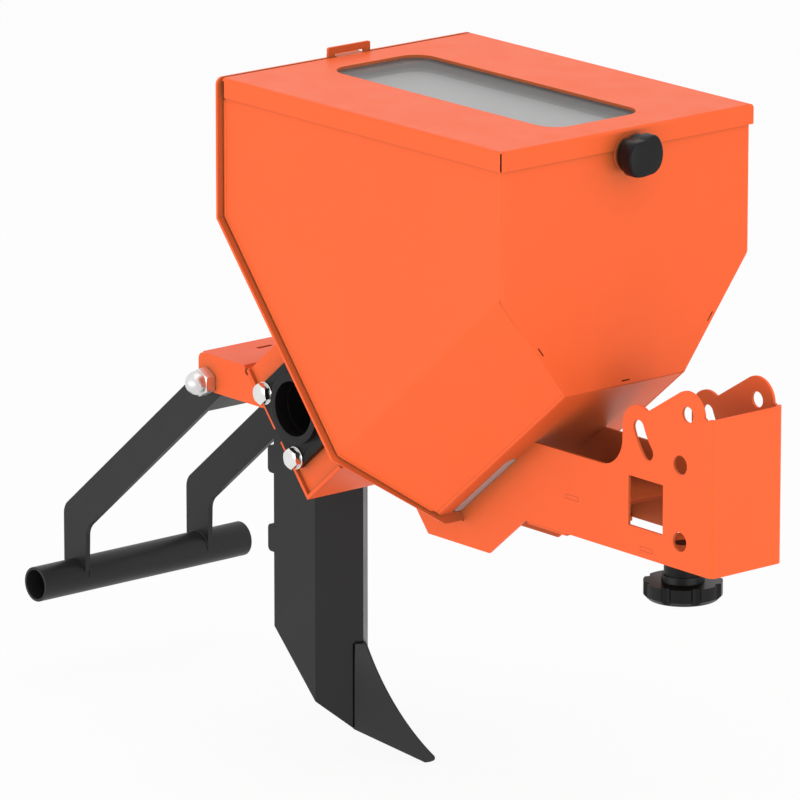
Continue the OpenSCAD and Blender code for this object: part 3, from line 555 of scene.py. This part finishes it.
def knob_ring(z, scale, limit=math.inf):
    radii = [min(limit, scale * r) for r in grip]
    return [(r * math.cos(a), r * math.sin(a), z) for a, r in zip(angles, radii)]


bm = bmesh.new()
foot = [circle(FOOT_R, z, KNOB_STEPS) for z in FOOT_Z]
loft(bm, foot + [knob_ring(*ring) for ring in KNOB_RINGS],
     axes((KNOB_X, 0, STUD_Z), (0, 1, 0), (1, 0, 0)))
o = piece("knob_grip", bm, gloss, "root")
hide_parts("clamp_knob")

# ---------------------------------------------------------------- arms of the drag bar

# An arm's outline lies in the x-z plane about the pivot. The arm slants down to a rounded knee and
# ends upright over the tube. Its slanted run is wider below the pivot's axis than above it.
KNEE = math.radians(40)
ABOVE, BELOW = 18.0, 20.6                # the slanted run's edges, from the pivot's axis
REAR, FORE = 19.6, 18.9                  # the upright end's edges, from the tube's axis
TUBE_R, HOLE_R, KNEE_R = 19, 9.08, 19
TUBE_MEETS = 20.9                        # degrees up the tube, where the fore edge starts
along = Vector((math.cos(KNEE), math.sin(KNEE)))
across = Vector((-math.sin(KNEE), math.cos(KNEE)))
tube_x, tube_z = tube.x - pivot.x, tube.z - pivot.z


def round_corner(a, b, c, r, n=12):
    """Arc that rounds the corner b of the path a, b, c."""
    a, b, c = Vector(a), Vector(b), Vector(c)
    u, v = (a - b).normalized(), (c - b).normalized()
    half = u.angle(v) / 2
    center = b + (u + v).normalized() * r / math.sin(half)
    start, end = (b + w * r / math.tan(half) - center for w in (u, v))
    turn = math.atan2(start.x * end.y - start.y * end.x, start.dot(end))
    return [(center + Matrix.Rotation(turn * k / n, 2) @ start)[:] for k in range(n + 1)]


def knee(edge, x):
    """Where a slanted edge, given by its distance from the pivot's axis, reaches an x."""
    p = across * edge
    return p + along * (x - p.x) / along.x


def eye_end(steps=32):
    """The arm's round end about the pivot, from its lower edge to its upper one."""
    points = []
    for k in range(steps + 1):
        r, a = BELOW + (ABOVE - BELOW) * k / steps, KNEE + math.pi * (k / steps - 0.5)
        points.append((r * math.cos(a), r * math.sin(a)))
    return points


def plate(outer, hole, y0, y1, origin):
    """A flat plate between two y, from an outline and a hole in the x-z plane about an origin."""
    bm = bmesh.new()
    edges = []
    for loop in (outer, hole):
        verts = [bm.verts.new(Vector((p[0] + origin.x, y0, p[1] + origin.z)) / 1000) for p in loop]
        edges += [bm.edges.new(pair) for pair in zip(verts, verts[1:] + verts[:1])]
    bmesh.ops.triangle_fill(bm, use_beauty=True, use_dissolve=False, edges=edges)
    far = bmesh.ops.extrude_face_region(bm, geom=bm.faces[:])["geom"]
    bmesh.ops.translate(bm, vec=(0, (y1 - y0) / 1000, 0),
                        verts=[v for v in far if isinstance(v, bmesh.types.BMVert)])
    return bm


rear_x, fore_x = tube_x - REAR, tube_x + FORE
rear_end, fore_end = (rear_x, tube_z), (fore_x, tube_z)
arm = (
    eye_end()
    + round_corner(across * ABOVE, knee(ABOVE, rear_x), rear_end, KNEE_R)
    + [rear_end]
    + arc(tube_x, tube_z, TUBE_R, 180, TUBE_MEETS, 32)
    + round_corner(fore_end, knee(-BELOW, fore_x), across * -BELOW, KNEE_R)
)
for side, s in SIDES:
    bm = plate(arm, circle(HOLE_R, 0), s * ARM_IN, s * ARM_OUT, pivot)
    o = piece("arm_plate_" + side, bm, black, "drag_body", edge=PLATE_EDGE)
    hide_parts("drag_arm_" + side)

# ---------------------------------------------------------------- share

# A wedge that thins from its rear edge to a hollow front, with a blunt tip
TOP, TIP = Vector((-554.4, -370.8)), Vector((-443.9, -468.3))
SAG = 11.4                               # depth of the hollow below its chord
BLUNT = ((0.7, -1), (0.9, -2.4), (0.3, -3.9), (-1.4, -5.3), (-6, -7.6), (-13.5, -10.1))
REAR_X, REAR_TOP, REAR_FALL = -566, -372.2, 93.6
REAR_HALF, FRONT_HALF = 8.5, 1           # half the wedge's thickness at its two edges
JOINT_OUT, JOINT_WIDE, JOINT_DEEP = 0.2, 2.3, 0.6    # of the near-black strips of painted shadow along the rear edge

chord = TIP - TOP
fall = math.atan2(chord.y, chord.x)
hollow_r = (chord.length ** 2 / 4 + SAG ** 2) / (2 * SAG)
half = math.asin(chord.length / 2 / hollow_r)
center = ((TOP + TIP) / 2
          + hollow_r * math.cos(half) * Vector((-math.sin(fall), math.cos(fall))))
start, end = (math.degrees(fall + turn) - 90 for turn in (-half, half))
front = arc(center.x, center.y, hollow_r, start, end, 32) + [(TIP + Vector(d))[:] for d in BLUNT]

rings, joint = [], []
for k, (x, z) in enumerate(front):
    rear_z = REAR_TOP - REAR_FALL * k / (len(front) - 1)
    rear_corner = Vector((REAR_X, -REAR_HALF, rear_z))
    front_corner = Vector((x, -FRONT_HALF, z))
    rings.append([rear_corner, (REAR_X, REAR_HALF, rear_z), (x, FRONT_HALF, z), front_corner])
    forward = front_corner - rear_corner
    forward /= forward.xy.length
    outward = Vector((forward.y, -forward.x, 0))
    p = rear_corner + outward * JOINT_OUT
    q = p + forward * JOINT_WIDE
    joint.append([p, q, q - outward * JOINT_DEEP, p - outward * JOINT_DEEP])
bm = bmesh.new()
loft(bm, rings)
o = piece("share_blade", bm, black, "root", edge=THIN_EDGE)
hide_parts("share")

# Painted shadow: near-black strips along the share's rear edge, where the joint's shade falls
for side, s in SIDES:
    bm = bmesh.new()
    loft(bm, [[(p.x, -s * p.y, p.z) for p in ring] for ring in joint[:-1]])
    piece("share_joint_shadow_" + side, bm, joint_shadow_black, "root")

# ---------------------------------------------------------------- weld beads and filled joints


def on_arm(forth, over, y):
    """A point along the arm's slanted run from the pivot, and some way above its axis."""
    p = along * forth + across * over
    return (pivot.x + p.x, y, pivot.z + p.y)


# Radii of the beads along the arms' tube, the brace and the bracket's plates, and of the fillets
TUBE_BEAD, BRACE_BEAD, PLATE_BEAD, LIP_FILLET, CORNER_FILLET = 1.3, 1.6, 2, 3.62, 2.32
BRACE_Y, BRACE_UNDER, BRACE_RUN = 81.2, -14.2, (-35, -12)
SUNK = -0.4                              # beads on the slanted wall are a little sunk into it
WEB_Y, WEB_RUN = 88.3, (112, 262)
FLANGE_Y, FLANGE_DOWN = 86, 264.3
LIP_X, LIP_TOP, LIP_BEND = -580.7, 236.5, 112.8
LIP_Y, CHUTE_Y, LIP_AHEAD = 162.45, 80.7, 6.8
LIP_FOLD, LIP_END = 283.6, 365.3         # down the wall: the lip's turn inward and its end
for side, s in SIDES:
    around = arc(tube.x, tube.z, TUBE_R + 0.3, 4, 176, 90)
    around = [(x, s * (ARM_IN - 0.3), z) for x, z in around]
    bead("weld_arm_tube_" + side, around, TUBE_BEAD, black, "drag_body")
    under = line(*(on_arm(forth, BRACE_UNDER, s * BRACE_Y) for forth in BRACE_RUN))
    bead("weld_brace_" + side, under, BRACE_BEAD, black, "drag_body")
    beside = line(*(on_wall(down, SUNK, s * WEB_Y) for down in WEB_RUN))
    bead("weld_web_" + side, beside, PLATE_BEAD, orange, "root")
    # Filled joint between the side's rounded rear edge and the rear plate's lip
    lip = [(LIP_X, s * LIP_Y, LIP_TOP), (LIP_X, s * LIP_Y, LIP_BEND),
           on_wall(LIP_FOLD, LIP_AHEAD, s * LIP_Y), on_wall(LIP_END, LIP_AHEAD, s * CHUTE_Y)]
    path = [p for a, b in zip(lip, lip[1:]) for p in line(a, b, 3)[:-1]] + [lip[-1]]
    bead("lip_fill_" + side, path, LIP_FILLET, orange, "root", ripple=0)
level = line(*(on_wall(FLANGE_DOWN, SUNK, y) for y in (-FLANGE_Y, FLANGE_Y)))
bead("weld_flange", level, PLATE_BEAD, orange, "root")

# Ground fillet welds along the hopper's lower corners: down the front, then back along the chute
DOWN_FRONT = ((-149, 163.9, 107.1), (-149.3, 79.9, -4.4))
ALONG_CHUTE = ((-149.4, 79.8, -5.4), (-343.3, 79.8, -168.1))
for side, s in SIDES:
    corner = [(x, s * y, z) for run in (DOWN_FRONT, ALONG_CHUTE) for x, y, z in line(*run, 3)]
    bead("corner_fill_" + side, corner, CORNER_FILLET, orange, "root", ripple=0)

# ---------------------------------------------------------------- stage

WHITE = (1, 1, 1, 1)
GLOW = 0.9                               # the rest of the floor keeps the object's faint shadow


def seen_rays(tree):
    """1 for camera, mirror and see-through rays, 0 for the light that falls on the object."""
    path = add_node(tree, "ShaderNodeLightPath").outputs
    seen = path["Is Camera Ray"]
    for name in ("Is Glossy Ray", "Is Transmission Ray"):
        larger = add_node(tree, "ShaderNodeMath", {0: seen, 1: path[name]})
        larger.operation = "MAXIMUM"
        seen = larger.outputs[0]
    return seen


def floor_material():
    mat = bpy.data.materials.new("floor_white")
    mat.use_nodes = True
    tree = mat.node_tree
    matt = tree.nodes["Principled BSDF"]
    matt.inputs["Base Color"].default_value = (0.9, 0.9, 0.9, 1)
    matt.inputs["Roughness"].default_value = 0.9
    glow = add_node(tree, "ShaderNodeEmission")
    share = add_node(tree, "ShaderNodeMath", {0: seen_rays(tree)}, {1: GLOW})
    share.operation = "MULTIPLY"
    mix = add_node(tree, "ShaderNodeMixShader",
                   {0: share.outputs[0], 1: matt.outputs[0], 2: glow.outputs[0]})
    tree.links.new(mix.outputs[0], tree.nodes["Material Output"].inputs["Surface"])
    return mat


def white_world():
    world = bpy.data.worlds.new("world")
    world.use_nodes = True
    tree = world.node_tree
    ambient = tree.nodes["Background"]
    ambient.inputs["Color"].default_value = WHITE
    ambient.inputs["Strength"].default_value = 0.8
    white = add_node(tree, "ShaderNodeBackground", values={"Color": WHITE})
    mix = add_node(tree, "ShaderNodeMixShader",
                   {0: seen_rays(tree), 1: ambient.outputs[0], 2: white.outputs[0]})
    tree.links.new(mix.outputs[0], tree.nodes["World Output"].inputs["Surface"])
    return world


def area(name, place, target, width, height, power):
    """A rectangular lamp that faces a target."""
    lamp = bpy.data.lights.new(name, "AREA")
    lamp.shape = "RECTANGLE"
    lamp.size, lamp.size_y = width, height
    lamp.energy = power
    o = bpy.data.objects.new(name, lamp)
    scene.collection.objects.link(o)
    o.location = place
    o.rotation_euler = (Vector(target) - Vector(place)).to_track_quat("-Z", "Y").to_euler()


scene.world = white_world()
lo, hi = cad_box
mid = (lo + hi) / 2
LOW = -0.08                              # height of the two lamps beside the object
area("top", (mid.x + 0.2, mid.y - 0.2, 2.6), mid, 2.2, 2.2, 14)
area("right_side", (mid.x - 0.2, -2.6, LOW), (mid.x, 0, LOW), 2.4, 0.64, 17)
area("front", (2.45, 0.2, LOW), (mid.x, 0, LOW), 2.4, 0.64, 17)

bpy.ops.mesh.primitive_plane_add(size=40, location=(0, 0, lo.z - 0.0005))
floor = bpy.context.object
floor.name = "floor"
floor.data.materials.append(floor_material())
